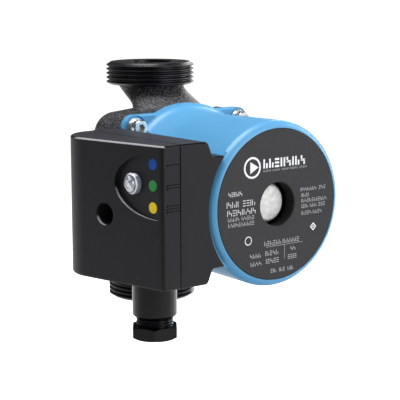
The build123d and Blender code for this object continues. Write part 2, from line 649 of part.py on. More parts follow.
def make_box_base():
    shell = slab(base_outline(), BOX_BACK_Y, MOTOR_FRONT_Y)
    front = shell.faces().sort_by(Axis.Y)[0]
    shell = chamfer(front.edges().filter_by(Axis.X), 0.7)
    shell += gland_neck()
    inner_half = BOX_HALF_HEIGHT - BOX_WALL
    inside = Pos((SEAM_X - BASE_SHOULDER_X) / 2 + BASE_SHOULDER_X - BOX_WALL, 0) * Rectangle(
        BASE_SHOULDER_X - SEAM_X, 2 * inner_half)
    shell -= slab(inside - Circle(BOX_INSIDE_R), BOX_BACK_Y - BOX_WALL, MOTOR_FRONT_Y + BOX_WALL)
    shell -= disc(FLANGE_CIRCLE_R + 0.8, JOINT_Y, FLANGE_FRONT_Y - 18.0)
    shell -= slab(flange_sketch(1.0), JOINT_Y, HEAD_FRONT_Y - 2.0)
    shell -= gland_hole(GLAND_BORE_R, GLAND_NECK_END - 1, BOX_BOTTOM + 6.0)
    shell -= gland_hole(GLAND_BORE_R + 1.0, GLAND_NECK_END - 1, GLAND_NECK_END + GLAND_SEAL_LENGTH)
    for y, z in BOARD_POSTS:
        shell += peg(3.0, BOARD_X, BASE_SHOULDER_X - BOX_WALL, y, z) - peg(1.2, BOARD_X, BOARD_X + 8.0, y, z)
    post_x = SHELL_BACK_X - 1.5
    screw_y = cover_screw_y()
    shell += peg(4.6, post_x, -BOX_INSIDE_R + 1, screw_y, SCREW_HOLE_Z)
    shell -= peg(1.9 + FIT_GAP, post_x - 1, post_x + 12.0, screw_y, SCREW_HOLE_Z)
    shell -= connector_hole(RUN_GAP + 0.1)
    for way in (-1, 1):
        shell -= peg(3.6, -BOX_INSIDE_R - 1, base_screw_seat(), BASE_SCREW_Y, way * BASE_SCREW_Z)
        shell -= peg(BASE_SCREW_R + 0.2, base_screw_seat() - 1, -SADDLE_R + 6, BASE_SCREW_Y, way * BASE_SCREW_Z)
    return shell


def base_screw_seat():
    return -math.sqrt(BOX_INSIDE_R ** 2 - (BASE_SCREW_Z - 3.6) ** 2) + 1.6


def cover_screw_y():
    return (FACE_CORNER + FACE_RUN * SCREW_HOLE_ALONG).Y


def make_base_screws():
    seat = base_screw_seat()
    screws = []
    for way in (-1, 1):
        z = way * BASE_SCREW_Z
        head = peg(3.3, seat - 2.4, seat, BASE_SCREW_Y, z) - peg(1.6, seat - 3, seat - 1.2, BASE_SCREW_Y, z)
        screws.append(head + peg(BASE_SCREW_R, seat, -PAD_R + 4.0, BASE_SCREW_Y, z))
    return Compound(children=screws)


def make_saddle_gasket():
    strip = (Circle(SADDLE_R - FIT_GAP) - Circle(PAD_R + FIT_GAP)) & saddle_wedge(SADDLE_HALF_ANGLE - 0.3)
    gasket = slab(strip, FLANGE_FRONT_Y - 18.5, MOTOR_FRONT_Y + 3.0)
    gasket -= connector_hole(RUN_GAP + 0.1)
    for way in (-1, 1):
        gasket -= peg(BASE_SCREW_R + 0.1, -SADDLE_R - 1, -PAD_R + 6, BASE_SCREW_Y, way * BASE_SCREW_Z)
    return gasket


def cover_outline():
    """The cover's plan: the slanted face, a large round at the back and the flat front."""
    back_x = FACE_CORNER_X + FACE_RUN.X / FACE_RUN.Y * (BOX_BACK_Y - MOTOR_FRONT_Y)
    outline = make_face(Polyline((SHELL_BACK_X, MOTOR_FRONT_Y), (FACE_CORNER_X, MOTOR_FRONT_Y),
                                 (back_x, BOX_BACK_Y), (SHELL_BACK_X, BOX_BACK_Y), close=True))
    back_corner = outline.vertices().sort_by(Axis.X)[0]
    outline = fillet(back_corner, BOX_BACK_ROUND)
    front_corner = outline.vertices().sort_by_distance((FACE_CORNER_X, MOTOR_FRONT_Y, 0))[0]
    return fillet(front_corner, BOX_CORNER_ROUND)


def cover_block(sketch, half_height):
    return extrude(Pos(0, 0, MOTOR_Z - half_height) * sketch, amount=2 * half_height)


def panel_recess():
    """The D-shaped recess, shallow at the front corner and deeper towards its tip."""
    oval = Pos(-PANEL_FRONT, PANEL_MID_Z) * Ellipse(PANEL_LENGTH, PANEL_HALF_HEIGHT)
    rear_half = Pos(-PANEL_FRONT - PANEL_LENGTH, PANEL_MID_Z) * Rectangle(2 * PANEL_LENGTH, 4 * PANEL_HALF_HEIGHT)
    column = extrude(face_plane(0, 0, 6.0) * (oval & rear_half), amount=9.0)
    end = PANEL_FRONT + PANEL_LENGTH + 2.0
    corners = []
    for along, depth in ((0.0, panel_depth(0)), (end, panel_depth(end)), (end, -4.0), (0.0, -4.0)):
        corner = FACE_CORNER + FACE_RUN * along - FACE_OUT * depth
        corners.append((corner.X, corner.Y))
    wedge = make_face(Polyline(*corners, close=True))
    return column & extrude(Pos(0, 0, MOTOR_Z - BOX_HALF_HEIGHT) * wedge, amount=3 * BOX_HALF_HEIGHT)


def side_groove(z, length_share):
    """One engraved line on the cover's front, with the small round dimple that starts it."""
    start_x = FACE_CORNER_X + 2.2
    line = block((start_x, SHELL_BACK_X + 1), (MOTOR_FRONT_Y - 1, MOTOR_FRONT_Y + 0.35), (z - 0.18, z + 0.18))
    dimple = slab(Pos(start_x, z - length_share) * Circle(0.5), MOTOR_FRONT_Y + 0.5, MOTOR_FRONT_Y - 1)
    return line + dimple


def make_box_cover():
    outline = cover_outline()
    shell = cover_block(outline, BOX_HALF_HEIGHT)
    for way in (0, -1):
        rim = shell.faces().sort_by(Axis.Z)[way].edges()
        rim = [edge for edge in rim if abs(edge.center().X - SHELL_BACK_X) > 0.1]
        shell = fillet(rim, BOX_EDGE_ROUND)
    inside = offset(outline, -BOX_WALL) + Pos(SHELL_BACK_X - 1, (MOTOR_FRONT_Y + BOX_BACK_Y) / 2) * Rectangle(
        6.0, MOTOR_FRONT_Y * -1 + BOX_BACK_Y - 2 * BOX_WALL)
    tube_end = SHELL_BACK_X - 1.5
    screw_y = cover_screw_y()
    cavity = cover_block(inside, BOX_HALF_HEIGHT - BOX_WALL)
    cavity -= peg(SCREW_HOLE_R + 1.7, -100, tube_end, screw_y, SCREW_HOLE_Z)
    cavity -= extrude(face_plane(BUTTON_ALONG, BUTTON_Z, 5.2) * Circle(BUTTON_R + 2.2), amount=9.0)
    for along, z in DISPLAY_POSTS:
        cavity -= extrude(face_plane(along, z, DISPLAY_DEPTH) * Circle(2.0), amount=12.0)
    cavity -= extrude(face_plane(PANEL_FRONT + PANEL_LENGTH / 2, PANEL_MID_Z, PANEL_DEPTH_BACK + 1.6)
                      * Rectangle(PANEL_LENGTH + 3, 2 * PANEL_HALF_HEIGHT + 3), amount=4.0)
    shell -= cavity
    shell -= panel_recess()
    shell -= extrude(face_plane(BUTTON_ALONG, BUTTON_Z, 14.0) * Circle(BUTTON_R + MOVE_GAP), amount=20.0)
    shell -= peg(SCREW_HOLE_R, -100, tube_end - 2.5, screw_y, SCREW_HOLE_Z)
    shell -= peg(2.2, -100, 0, screw_y, SCREW_HOLE_Z)
    for lines, z in enumerate(DOT_HEIGHTS.values(), start=1):
        for line in range(lines):
            shell -= side_groove(z + 1.4 * ((lines - 1) / 2 - line), 0.3)
    for z in DOT_HEIGHTS.values():
        shell -= extrude(dot_plane(z) * Circle(DOT_R + FIT_GAP), amount=-DOT_POCKET)
    return shell


DISPLAY_POSTS = [(BUTTON_ALONG - 7.2, BUTTON_Z - 6.0), (BUTTON_ALONG + 6.2, BUTTON_Z + 7.0)]


def dot_plane(z):
    """The sloping floor of the panel under a dot, facing out."""
    slope = math.atan(PANEL_SLOPE)
    floor = face_plane(DOT_ALONG, z, panel_depth(DOT_ALONG))
    return Plane(floor.location * Rot(0, -math.degrees(slope), 0))


def make_dot(z):
    return extrude(dot_plane(z).offset(-DOT_POCKET) * Circle(DOT_R), amount=DOT_POCKET + 0.1)


def make_cover_seal():
    """The soft cord between the base and the cover, set back from the seam."""
    half_z = BOX_HALF_HEIGHT - 0.7
    front = MOTOR_FRONT_Y + 0.7
    back = BOX_BACK_Y - 0.7
    outer = block((SHELL_BACK_X, SEAM_X), (front, back), (-half_z, half_z))
    inner = block((SHELL_BACK_X, SEAM_X), (front + 1.4, back - 1.4), (-half_z + 1.4, half_z - 1.4))
    return outer - inner


def make_cover_screw():
    seat = SHELL_BACK_X - 4.0
    screw_y = cover_screw_y()
    head = peg(3.6, seat - 2.6, seat, screw_y, SCREW_HOLE_Z)
    rim = head.faces().sort_by(Axis.X)[0].edges()
    head = chamfer(rim, 0.5)
    slot = block((seat - 3, seat - 1.3), (screw_y - 5, screw_y + 5), (SCREW_HOLE_Z - 0.5, SCREW_HOLE_Z + 0.5))
    cross = block((seat - 3, seat - 1.3), (screw_y - 0.5, screw_y + 0.5), (SCREW_HOLE_Z - 2.4, SCREW_HOLE_Z + 2.4))
    return head + peg(1.9, seat, seat + 12.0, screw_y, SCREW_HOLE_Z) - slot - cross


# ---- control board and button ------------------------------------------------------------------------
def make_control_board():
    half_z = BOX_HALF_HEIGHT - BOX_WALL - 2.0
    board = block((BOARD_X, BOARD_OUT_X), (MOTOR_FRONT_Y + BOX_WALL + 2, BOX_BACK_Y - BOX_WALL - 2), (-half_z, half_z))
    board -= peg(5.2, BOARD_X + 1, BOARD_OUT_X - 1, cover_screw_y(), SCREW_HOLE_Z)
    for y, z in BOARD_POSTS:
        board -= peg(1.5, BOARD_X + 1, BOARD_OUT_X - 1, y, z)
    return board


def make_board_screws():
    screws = []
    for y, z in BOARD_POSTS:
        head = peg(2.4, BOARD_OUT_X - 1.6, BOARD_OUT_X, y, z)
        screws.append(head + peg(1.2 - FIT_GAP, BOARD_OUT_X, BOARD_X + 6.0, y, z))
    return Compound(children=screws)


def make_motor_connector():
    half_y = CONNECTOR_LENGTH / 2
    half_z = CONNECTOR_HEIGHT / 2
    return block((BOARD_X, -STATOR_R - MOVE_GAP), (CONNECTOR_Y - half_y, CONNECTOR_Y + half_y), (-half_z, half_z))


def make_terminal_block():
    body = block((BOARD_OUT_X, BOARD_OUT_X - 9.0), (-92.0, -71.0), (-29.0, -19.0))
    for y in (-88.5, -81.5, -74.5):
        body -= peg(2.2, BOARD_OUT_X - 10, BOARD_OUT_X - 3.0, y, -22.5)
        body -= block((BOARD_OUT_X - 2.0, BOARD_OUT_X - 6.5), (y - 2.2, y + 2.2), (-30.0, -26.0))
    return body


def make_capacitors():
    cans = []
    for z in (-16.0, -3.0):
        can = peg(5.5, BOARD_OUT_X, BOARD_OUT_X - 13.0, -49.0, z)
        cans.append(fillet(can.faces().sort_by(Axis.X)[0].edges(), 0.8))
    return Compound(children=cans)


def make_inductor():
    y, z = -58.0, 20.0
    return peg(7.5, BOARD_OUT_X, BOARD_OUT_X - 7.0, y, z) - peg(3.2, BOARD_OUT_X + 1, BOARD_OUT_X - 8.0, y, z)


def make_power_module():
    return block((BOARD_X, BOARD_X + 3.2), (-64.5, -44.0), (-9.0, 9.0))


def make_display_board():
    plane = face_plane(BUTTON_ALONG - 0.9, BUTTON_Z, DISPLAY_DEPTH + DISPLAY_THICKNESS)
    return extrude(plane * Rectangle(17.5, 17.0), amount=DISPLAY_THICKNESS)


def on_face(radius, deep, shallow, along=BUTTON_ALONG, z=BUTTON_Z):
    """A round boss square to the slanted face between two depths."""
    return extrude(face_plane(along, z, deep) * Circle(radius), amount=deep - shallow)


def make_mode_button():
    face_depth = panel_depth(BUTTON_ALONG) - 1.2
    body = on_face(BUTTON_R, BUTTON_FOOT_DEPTH, face_depth)
    dome_r = (BUTTON_R ** 2 + BUTTON_DOME ** 2) / (2 * BUTTON_DOME)
    centre = face_plane(BUTTON_ALONG, BUTTON_Z, face_depth - BUTTON_DOME + dome_r).origin
    dome = Pos(centre) * Sphere(dome_r)
    body += dome & on_face(BUTTON_R, face_depth, face_depth - 2 * BUTTON_DOME)
    body += on_face(BUTTON_R + BUTTON_LIP, BUTTON_FOOT_DEPTH, BUTTON_LIP_DEPTH)
    body -= on_face(BUTTON_HOLLOW_R, BUTTON_FOOT_DEPTH + 2.0, face_depth + BUTTON_WINDOW)
    return body


def make_mode_led():
    foot_depth = DISPLAY_DEPTH - 1.0
    foot = on_face(LED_R + 0.5, DISPLAY_DEPTH, foot_depth)
    stem = on_face(LED_R, foot_depth, LED_CENTRE_DEPTH)
    centre = face_plane(BUTTON_ALONG, BUTTON_Z, LED_CENTRE_DEPTH).origin
    return foot + stem + Pos(centre) * Sphere(LED_R)


SWITCH_ALONG = BUTTON_ALONG - 5.8


def make_mode_switch():
    plane = face_plane(SWITCH_ALONG, BUTTON_Z, DISPLAY_DEPTH)
    body = extrude(plane * Rectangle(4.6, 6.0), amount=1.6)
    return body - on_face(PLUNGER_R + MOVE_GAP, DISPLAY_DEPTH - MOVE_GAP, 0, SWITCH_ALONG, BUTTON_Z)


def make_switch_plunger():
    return on_face(PLUNGER_R, DISPLAY_DEPTH - 1.5, BUTTON_FOOT_DEPTH, SWITCH_ALONG, BUTTON_Z)


# ---- cable gland -------------------------------------------------------------------------------------
def make_gland_seal():
    low = GLAND_NECK_END
    high = low + GLAND_SEAL_LENGTH
    return gland_hole(GLAND_BORE_R + 1.0 - FIT_GAP, low, high) - gland_hole(GLAND_SEAL_BORE_R, low - 1, high + 1)


def make_gland_slip_ring():
    radius = GLAND_THREAD_D / 2 - 0.2
    ring_body = gland_hole(radius, GLAND_RING_BOTTOM, GLAND_RING_TOP)
    return ring_body - gland_hole(GLAND_BORE_R, GLAND_RING_BOTTOM - 1, GLAND_RING_TOP + 1)


def make_gland_nut():
    hexagon = Rot(0, 0, GLAND_NUT_TURN) * RegularPolygon(GLAND_NUT_AF / 2, 6, major_radius=False)
    nut = extrude(Pos(GLAND_X, GLAND_Y, MOTOR_Z + GLAND_NUT_BOTTOM) * hexagon, amount=GLAND_NUT_HEIGHT)
    corner_r = GLAND_NUT_AF / 2 / math.cos(math.radians(30))
    low = MOTOR_Z + GLAND_NUT_BOTTOM
    high = MOTOR_Z + GLAND_NUT_TOP
    blank = turned_upright(GLAND_X, GLAND_Y, [(0, low), (GLAND_NUT_AF / 2 - 0.4, low), (corner_r, low + 1.2),
                                              (corner_r, high - 0.6), (GLAND_NUT_AF / 2, high), (0, high)])
    nut &= blank
    nut -= gland_hole(GLAND_BORE_R, GLAND_NUT_BOTTOM - 1, GLAND_NUT_TOP)
    nut -= gland_hole(GLAND_THREAD_D / 2 + MOVE_GAP, GLAND_RING_BOTTOM, GLAND_NUT_TOP + 1)
    return nut


PIECES = {
    "pump_housing": make_pump_housing,
    "suction_port": make_suction_port,
    "discharge_port": make_discharge_port,
    "wear_ring": make_wear_ring,
    "impeller": make_impeller,
    "impeller_shroud": make_impeller_shroud,
    "bearing_plate": make_bearing_plate,
    "housing_gasket": make_housing_gasket,
    "front_bearing": make_front_bearing,
    "rear_bearing": make_rear_bearing,
    "shaft": make_shaft,
    "rotor_core": make_rotor_core,
    "rotor_end_rings": make_rotor_end_rings,
    "rotor_sleeve": make_rotor_sleeve,
    "thrust_washer": make_thrust_washer,
    "thrust_cushion": make_thrust_cushion,
    "rotor_can": make_rotor_can,
    "stator_core": make_stator_core,
    "stator_coils": make_stator_coils,
    "stator_end_caps": make_stator_end_caps,
    "motor_housing": make_motor_housing,
    "flange_screws": make_flange_screws,
    "flange_washers": make_flange_washers,
    "name_plate": make_name_plate,
    "box_base": make_box_base,
    "base_screws": make_base_screws,
    "saddle_gasket": make_saddle_gasket,
    "box_cover": make_box_cover,
    "cover_seal": make_cover_seal,
    "cover_screw": make_cover_screw,
    "control_board": make_control_board,
    "board_screws": make_board_screws,
    "motor_connector": make_motor_connector,
    "terminal_block": make_terminal_block,
    "capacitors": make_capacitors,
    "inductor": make_inductor,
    "power_module": make_power_module,
    "display_board": make_display_board,
    "mode_button": make_mode_button,
    "mode_led": make_mode_led,
    "mode_switch": make_mode_switch,
    "switch_plunger": make_switch_plunger,
    "gland_seal": make_gland_seal,
    "gland_slip_ring": make_gland_slip_ring,
    "gland_nut": make_gland_nut,
}

for name, make in PIECES.items():
    save(make(), name)
for colour, height in DOT_HEIGHTS.items():
    save(make_dot(height), f"mode_dot_{colour}")
print(len(PIECES) + len(DOT_HEIGHTS), "nodes written")
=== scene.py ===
# %% [markdown]
# # A heating circulator pump
# The real pump is a black cast-iron volute between two threaded ports, with a blue motor housing bolted to
# its front and a black plastic control box on the motor's side. Its solid model is already made and comes in
# as a fixed frame, in metres. The steps below give each surface its finish and add the printed marks, which
# are too thin to belong to the solid model.

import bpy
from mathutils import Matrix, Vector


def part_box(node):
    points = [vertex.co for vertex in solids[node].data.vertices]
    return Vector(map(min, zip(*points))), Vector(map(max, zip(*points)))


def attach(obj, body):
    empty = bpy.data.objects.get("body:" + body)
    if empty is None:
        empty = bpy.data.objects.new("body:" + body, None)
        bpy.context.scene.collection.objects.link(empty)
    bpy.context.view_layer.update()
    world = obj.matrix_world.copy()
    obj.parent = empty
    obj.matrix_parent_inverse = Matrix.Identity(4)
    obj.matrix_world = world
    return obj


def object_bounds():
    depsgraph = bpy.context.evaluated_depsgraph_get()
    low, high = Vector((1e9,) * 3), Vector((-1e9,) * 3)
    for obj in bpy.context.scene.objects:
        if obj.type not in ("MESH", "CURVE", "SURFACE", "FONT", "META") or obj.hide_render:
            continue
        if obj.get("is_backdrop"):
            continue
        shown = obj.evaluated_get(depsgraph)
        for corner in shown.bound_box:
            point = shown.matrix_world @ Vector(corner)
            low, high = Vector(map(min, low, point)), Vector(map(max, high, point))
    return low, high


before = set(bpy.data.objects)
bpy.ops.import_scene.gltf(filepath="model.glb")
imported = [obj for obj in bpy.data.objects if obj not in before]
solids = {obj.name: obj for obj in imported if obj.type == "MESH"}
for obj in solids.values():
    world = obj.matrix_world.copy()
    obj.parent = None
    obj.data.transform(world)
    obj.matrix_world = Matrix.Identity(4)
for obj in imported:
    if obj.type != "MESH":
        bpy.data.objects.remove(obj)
cad_box = [list(corner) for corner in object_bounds()]

import math
import random

import bpy
from mathutils import Euler, Vector

print(len(solids), "solids, from", [round(v, 4) for v in cad_box[0]], "to", [round(v, 4) for v in cad_box[1]])

# %% [markdown]
# ## The camera
# The pump is seen from its front left, a little from above, with a long lens from about three quarters of a
# metre. A long lens keeps the motor's round face nearly round. The camera could be aimed by hand; here its
# aim is written as three angles, so that it is easy to repeat.

# %% Set up the camera
PUMP_MIDDLE = (0, -0.054, 0.065)
CAMERA_PLACE = (-0.43617, -0.61608, 0.17999)
CAMERA_TURN = math.radians(-37.36)
CAMERA_DROP = math.radians(9.57)
CAMERA_ROLL = -0.003
CAMERA_LENS = 123.65

aim = Euler((math.pi / 2 - CAMERA_DROP, 0, CAMERA_TURN))
aim.rotate_axis("Z", CAMERA_ROLL)
bpy.ops.object.camera_add(location=CAMERA_PLACE, rotation=aim)
camera = bpy.context.object
camera.data.lens = CAMERA_LENS
camera.data.sensor_width = 36
camera.data.clip_end = 200
bpy.context.scene.camera = camera
camera_distance = (Vector(CAMERA_PLACE) - Vector(PUMP_MIDDLE)).length
print("camera", round(camera_distance, 3), "m from the pump")

# %% [markdown]
# ## Shader sums in plain Python
# A finish is a small sum: a base colour, plus some grain, less where the surface was machined. In the node
# editor each plus and minus is a node of its own. Here a small class stands for one output of a node and
# makes those nodes when Python adds, subtracts or multiplies it, so that a finish reads like its recipe.

# %% A number that changes over a surface
class Amount:
    """One output of a node, which Python's operators work on."""

    def __init__(self, finish, socket):
        self.finish = finish
        self.socket = socket

    def maths(self, operation, first, second=0.0, clamp=False):
        settings = {"operation": operation, "use_clamp": clamp}
        return self.finish.node("ShaderNodeMath", settings, {0: first, 1: second})

    def __add__(self, other):
        return self.maths("ADD", self, other)

    def __radd__(self, other):
        return self.maths("ADD", other, self)

    def __sub__(self, other):
        return self.maths("SUBTRACT", self, other)

    def __rsub__(self, other):
        return self.maths("SUBTRACT", other, self)

    def __mul__(self, other):
        return self.maths("MULTIPLY", self, other)

    def __rmul__(self, other):
        return self.maths("MULTIPLY", other, self)

    def __abs__(self):
        return self.maths("ABSOLUTE", self)

    def wave(self):
        """Between 0 and 1, once for every 2 pi."""
        return self.maths("SINE", self) * 0.5 + 0.5

    def step(self, start, end):
        """0 below start, 1 above end, and even in between."""
        return self.maths("MULTIPLY", self - start, 1 / (end - start), clamp=True)


# %% [markdown]
# ## One way to make a finish
# Every finish starts from the Principled shader. The object's own coordinates place its grain, so the grain
# stays on the piece when it moves. The class below holds the shader, makes any node with one method, and has
# the few patterns that the pump's finishes share.

# %% A finish and its nodes
class Finish:
    """A material in the making: its tree, its shader and where each point of the surface is."""

    def __init__(self, name):
        self.material = bpy.data.materials.new(name)
        self.material.use_nodes = True
        self.tree = self.material.node_tree
        self.skin = self.tree.nodes["Principled BSDF"]
        self.place = self.node("ShaderNodeTexCoord", output="Object")

    def node(self, kind, settings=(), sockets=(), output=0):
        made = self.tree.nodes.new(kind)
        for name, value in dict(settings).items():
            if name == "stops":
                self.set_stops(made.color_ramp, value)
            else:
                setattr(made, name, value)
        for name, value in dict(sockets).items():
            self.give(made.inputs[name], value)
        return Amount(self, made.outputs[output])

    def set_stops(self, ramp, stops):
        while len(ramp.elements) < len(stops):
            ramp.elements.new(1.0)
        for element, (position, colour) in zip(ramp.elements, stops):
            element.position = position
            element.color = colour

    def give(self, socket, value):
        if isinstance(value, Amount):
            self.tree.links.new(value.socket, socket)
        else:
            socket.default_value = value

    def set(self, **values):
        """Gives the shader's sockets their values: base_color=... is the socket Base Color."""
        titles = {socket.name.lower().replace(" ", "_"): socket for socket in self.skin.inputs}
        for name, value in values.items():
            self.give(titles[name], value)

    def between(self, amount, low, high):
        """A colour from low to high."""
        sockets = {0: amount, 6: (*low, 1.0), 7: (*high, 1.0)}
        return self.node("ShaderNodeMix", {"data_type": "RGBA"}, sockets, 2)

    def over(self, amount, under, top):
        """The colour top laid over another colour, where amount is 1."""
        return self.node("ShaderNodeMix", {"data_type": "RGBA"}, {0: amount, 6: under, 7: (*top, 1.0)}, 2)


# %% [markdown]
# Grain, clouds and cells are the three patterns that most real surfaces are made of. Each takes the size of
# its lumps in millimetres, because that is how one measures them on the real thing.

# %% Patterns that the finishes share
MM = 0.001


def clouds(finish, size_mm, detail=3.0, rough=0.55, stretch=(1, 1, 1)):
    """Soft lumps of about that size, from 0 to 1."""
    spot = finish.node("ShaderNodeMapping", (), {"Vector": finish.place, "Scale": stretch})
    sockets = {"Vector": spot, "Scale": 1 / (size_mm * MM), "Detail": detail, "Roughness": rough}
    return finish.node("ShaderNodeTexNoise", (), sockets, "Fac")


def cells(finish, size_mm, output="Distance", feature="F1"):
    """Rounded cells of about that size: the distance from a cell's middle, or its chance colour."""
    sockets = {"Vector": finish.place, "Scale": 1 / (size_mm * MM)}
    return finish.node("ShaderNodeTexVoronoi", {"feature": feature}, sockets, output)


def along(finish, axis):
    """How far along X, Y or Z each point is, in metres."""
    return finish.node("ShaderNodeSeparateXYZ", (), {0: finish.place}, axis)


def ripples(distance, pitch_mm):
    """Fine rings or lines, one for every pitch of the distance, from 0 to 1."""
    return (distance * (2 * math.pi / (pitch_mm * MM))).wave()


def from_line(finish, point, direction):
    """How far each point is from a line through point, in metres."""
    offset = finish.node("ShaderNodeVectorMath", {"operation": "SUBTRACT"}, {0: finish.place, 1: point})
    sockets = {0: offset, 1: Vector(direction).normalized()}
    across = finish.node("ShaderNodeVectorMath", {"operation": "CROSS_PRODUCT"}, sockets)
    return finish.node("ShaderNodeVectorMath", {"operation": "LENGTH"}, {0: across}, "Value")


def raised(finish, height, depth_mm, softened_mm=0.0):
    """Bump from a height of 0 to 1, on edges that are softened if a size is given."""
    sockets = {"Strength": 1.0, "Distance": depth_mm * MM, "Height": height}
    if softened_mm:
        edge = finish.node("ShaderNodeBevel", {"samples": 4}, {"Radius": softened_mm * MM}, "Normal")
        sockets["Normal"] = edge
    return finish.node("ShaderNodeBump", (), sockets, "Normal")


def dress(finish, *names):
    """Gives a finish to solids of the model."""
    for name in names:
        for slot in solids[name].material_slots:
            slot.material = finish.material
    print(finish.material.name, "on", ", ".join(names))


# %% [markdown]
# ## The cast volute
# The volute is grey cast iron with a black dip coat. Sand leaves it lumpy at one to two millimetres, and pale
# specks painted into its colour stand for the glints of lumps turned to the light, a painted highlight. The
# threads and the ports' end faces were turned on a lathe after casting, so there the lumps and the painted
# glints are gone and only fine rings are left.

# %% Black cast iron
MOTOR_HEIGHT = 0.065
HALF_SPAN = 0.065
THREAD_LENGTH = 0.0122
THREAD_START = HALF_SPAN - THREAD_LENGTH


def black_casting():
    finish = Finish("black_casting")
    up = along(finish, "Z")
    from_middle = abs(up - MOTOR_HEIGHT)
    turned = from_middle.step(THREAD_START - 0.0002, THREAD_START + 0.0002)
    sand = clouds(finish, 2.4, 3.0, 0.55)
    grit = clouds(finish, 0.9, 2.0, 0.6)
    pits = cells(finish, 2.0).step(0.0, 0.4)
    rings = ripples(up, 0.35)
    height = (sand * 0.4 + grit * 0.46 + pits * 0.14) * (1 - turned) + rings * turned * 0.03
    tone = finish.between(sand * (1 - turned), (0.003, 0.003, 0.004), (0.020, 0.020, 0.022))
    # Pale specks in the colour are painted glints, a painted highlight, except where turned.
    painted_glints = grit.step(0.53, 0.62) * (1 - turned)
    finish.set(base_color=finish.over(painted_glints * 0.5, tone, (0.18, 0.18, 0.20)),
               roughness=0.34 + sand * 0.16 - turned * 0.1, normal=raised(finish, height, 1.1))
    finish.set(specular_ior_level=0.3)
    return finish


dress(black_casting(), "pump_housing", "suction_port", "discharge_port")

# %% [markdown]
# ## The blue motor housing
# The housing is die-cast aluminium with a light-blue powder coat. Powder melts into a skin with a faint
# orange-peel ripple two or three millimetres across, and it thins to a paler line on sharp edges.

# %% Light-blue powder coat
def blue_powder_coat():
    finish = Finish("blue_powder_coat")
    peel = clouds(finish, 2.4, 2.0, 0.5)
    fine = clouds(finish, 0.45, 2.0, 0.6)
    tint = clouds(finish, 30.0, 2.0, 0.5)
    colour = finish.between(tint, (0.050, 0.205, 0.385), (0.062, 0.238, 0.430))
    specks = cells(finish, 3.1).step(0.07, 0.03) * 0.25
    finish.set(base_color=finish.over(specks, colour, (0.2, 0.46, 0.72)),
               roughness=0.40 + fine * 0.10, coat_weight=0.06 + peel * 0.12,
               normal=raised(finish, peel * 0.75 + fine * 0.25, 0.06, 0.35))
    finish.set(coat_roughness=0.2, specular_ior_level=0.38)
    return finish


dress(blue_powder_coat(), "motor_housing")

# %% [markdown]
# ## The control box
# The box is moulded in black plastic whose mould was spark-eroded, which leaves a fine even grain that
# scatters the light and makes the black look charcoal where it is lit. Dust lies on it in specks. Its top is
# painted lighter in grainy specks, painted light from above, and the rims of its left face that look up are
# rubbed smooth and carry a pale painted highlight. The seam and the front corner are glossy and painted
# darker with painted shade. The neck of the cable gland, which is moulded on below the box, is glossy and
# darker in its own plastic. Each of these places has a mask of its own: lid, rim_wear_and_highlight, seam,
# corner and neck.

# %% Grained black plastic
BOX_BOTTOM = 0.0306
BOX_TOP = 0.0994
SEAM_X = -0.05975
FACE_TURN = math.radians(12.3)
FACE_OUT = Vector((-math.cos(FACE_TURN), -math.sin(FACE_TURN), 0))
BOX_FRONT_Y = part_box("box_cover")[0].y
FACE_REACH = max(corner.co.dot(FACE_OUT) for corner in solids["box_cover"].data.vertices)


def toward(finish, direction):
    """How far each point is from the origin along a direction, in metres."""
    both = {0: finish.place, 1: direction}
    return finish.node("ShaderNodeVectorMath", {"operation": "DOT_PRODUCT"}, both, "Value")


def grained_plastic(name, grain_mm, shine):
    """The box's plastic, with a mask for its dust, worn rims, smooth places, painted light and painted shade.
    """
    finish = Finish(name)
    grain = clouds(finish, grain_mm, 2.0, 0.6)
    pits = cells(finish, grain_mm * 1.4)
    flow = clouds(finish, 24.0, 2.0, 0.5)
    dust = cells(finish, 6.5).step(0.045, 0.02)
    up = along(finish, "Z")
    neck = up.step(BOX_BOTTOM - 0.0002, BOX_BOTTOM - 0.0008)
    normal = finish.node("ShaderNodeNewGeometry", output="Normal")
    facing_up = finish.node("ShaderNodeSeparateXYZ", (), {0: normal}, 2)
    lid = facing_up.step(0.90, 0.97) * up.step(BOX_TOP - 0.0020, BOX_TOP - 0.0010)
    rim = toward(finish, FACE_OUT).step(FACE_REACH - 0.0016, FACE_REACH - 0.0006)
    # Rubbed rims that look up, with a pale painted highlight in their colour.
    rim_wear_and_highlight = facing_up.step(0.20, 0.45) * (1 - lid) * rim
    back = along(finish, "Y") - BOX_FRONT_Y
    corner = back.step(0.0001, 0.00025) * back.step(0.0030, 0.0018) * (1 - lid)
    seam = abs(along(finish, "X") - SEAM_X).step(0.00055, 0.00035)
    # Painted shade darkens the front corner and the seam, which are also glossier.
    shade = finish.node("ShaderNodeMath", {"operation": "MAXIMUM"}, {0: corner, 1: seam * (1 - neck)})
    tone = flow * 0.5 + grain * 0.5
    colour = finish.between(tone, (0.0042, 0.0041, 0.0060), (0.0086, 0.0084, 0.0118))
    dusty = finish.over(dust * 0.35, colour, (0.16, 0.16, 0.17))
    # Painted light: the top face is painted lighter, in grainy specks.
    top_painted_light = finish.over(lid * grain.step(0.35, 0.75) * 0.6, dusty, (0.060, 0.060, 0.068))
    painted_shade_and_neck = finish.over(shade * 0.85 + neck * 0.8, top_painted_light, (0.0012, 0.0012, 0.0015))
    finish.set(base_color=finish.over(rim_wear_and_highlight * 0.85, painted_shade_and_neck, (0.32, 0.32, 0.34)),
               roughness=shine + grain * 0.14 + flow * 0.05 - rim_wear_and_highlight * 0.26 - neck * 0.2 - shade * 0.2,
               normal=raised(finish, grain * 0.65 + pits * 0.35, 0.035, 0.45))
    finish.set(specular_ior_level=0.18)
    return finish


dress(grained_plastic("box_plastic", 0.42, 0.36), "box_base", "box_cover")

# %% [markdown]
# The cable gland is a harder plastic from a polished mould. It is as black as the box but shinier, with only
# the faint waves that the plastic leaves as it fills the mould.

